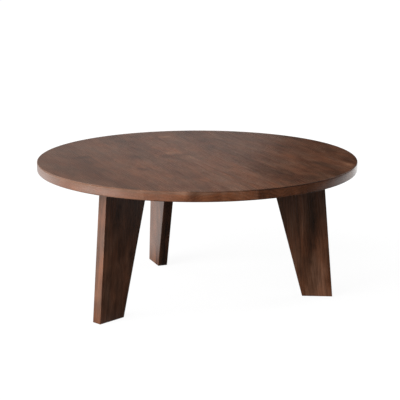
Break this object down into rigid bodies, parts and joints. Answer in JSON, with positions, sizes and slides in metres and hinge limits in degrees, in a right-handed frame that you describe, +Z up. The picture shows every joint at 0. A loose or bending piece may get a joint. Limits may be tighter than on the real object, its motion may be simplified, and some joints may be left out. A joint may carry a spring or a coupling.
{
  "type": "round cocktail table",
  "caption": "Low round cocktail table with an edge-glued solid walnut plank top on radial tapered board legs that are bolted on through flush steel plates.",
  "frame": {"origin": "on the floor, under the middle of the round top", "axes": "+Z up, the planks' grain along Y, the single back leg on the +Y side, the other two legs towards -Y at either side"},
  "size_m": [0.914, 0.914, 0.406],
  "materials": {
    "walnut_planks": "satin lacquered walnut, grain along the plank",
    "walnut_staves": "satin lacquered walnut, grain along the leg",
    "black_steel": "black powder coat",
    "zinc_steel": "bright zinc plate",
    "insert_brass": "turned brass",
    "glide_nylon": "moulded dark brown nylon"
  },
  "bodies": {
    "root": {"top_plank_01": "walnut_planks", "top_plank_02": "walnut_planks", "top_plank_03": "walnut_planks", "top_plank_04": "walnut_planks", "top_plank_05": "walnut_planks", "top_plank_06": "walnut_planks", "top_plank_07": "walnut_planks", "top_plank_08": "walnut_planks", "top_plank_09": "walnut_planks", "top_plank_10": "walnut_planks", "back_leg_outer_stave": "walnut_staves", "back_leg_inner_stave": "walnut_staves", "back_mounting_plate": "black_steel", "left_leg_outer_stave": "walnut_staves", "left_leg_inner_stave": "walnut_staves", "left_mounting_plate": "black_steel", "right_leg_outer_stave": "walnut_staves", "right_leg_inner_stave": "walnut_staves", "right_mounting_plate": "black_steel", "plate_screws": "zinc_steel", "plate_bolts": "zinc_steel", "bolt_washers": "zinc_steel", "threaded_inserts": "insert_brass", "foot_glides": "glide_nylon", "glide_nails": "zinc_steel"}
  },
  "joints": []
}
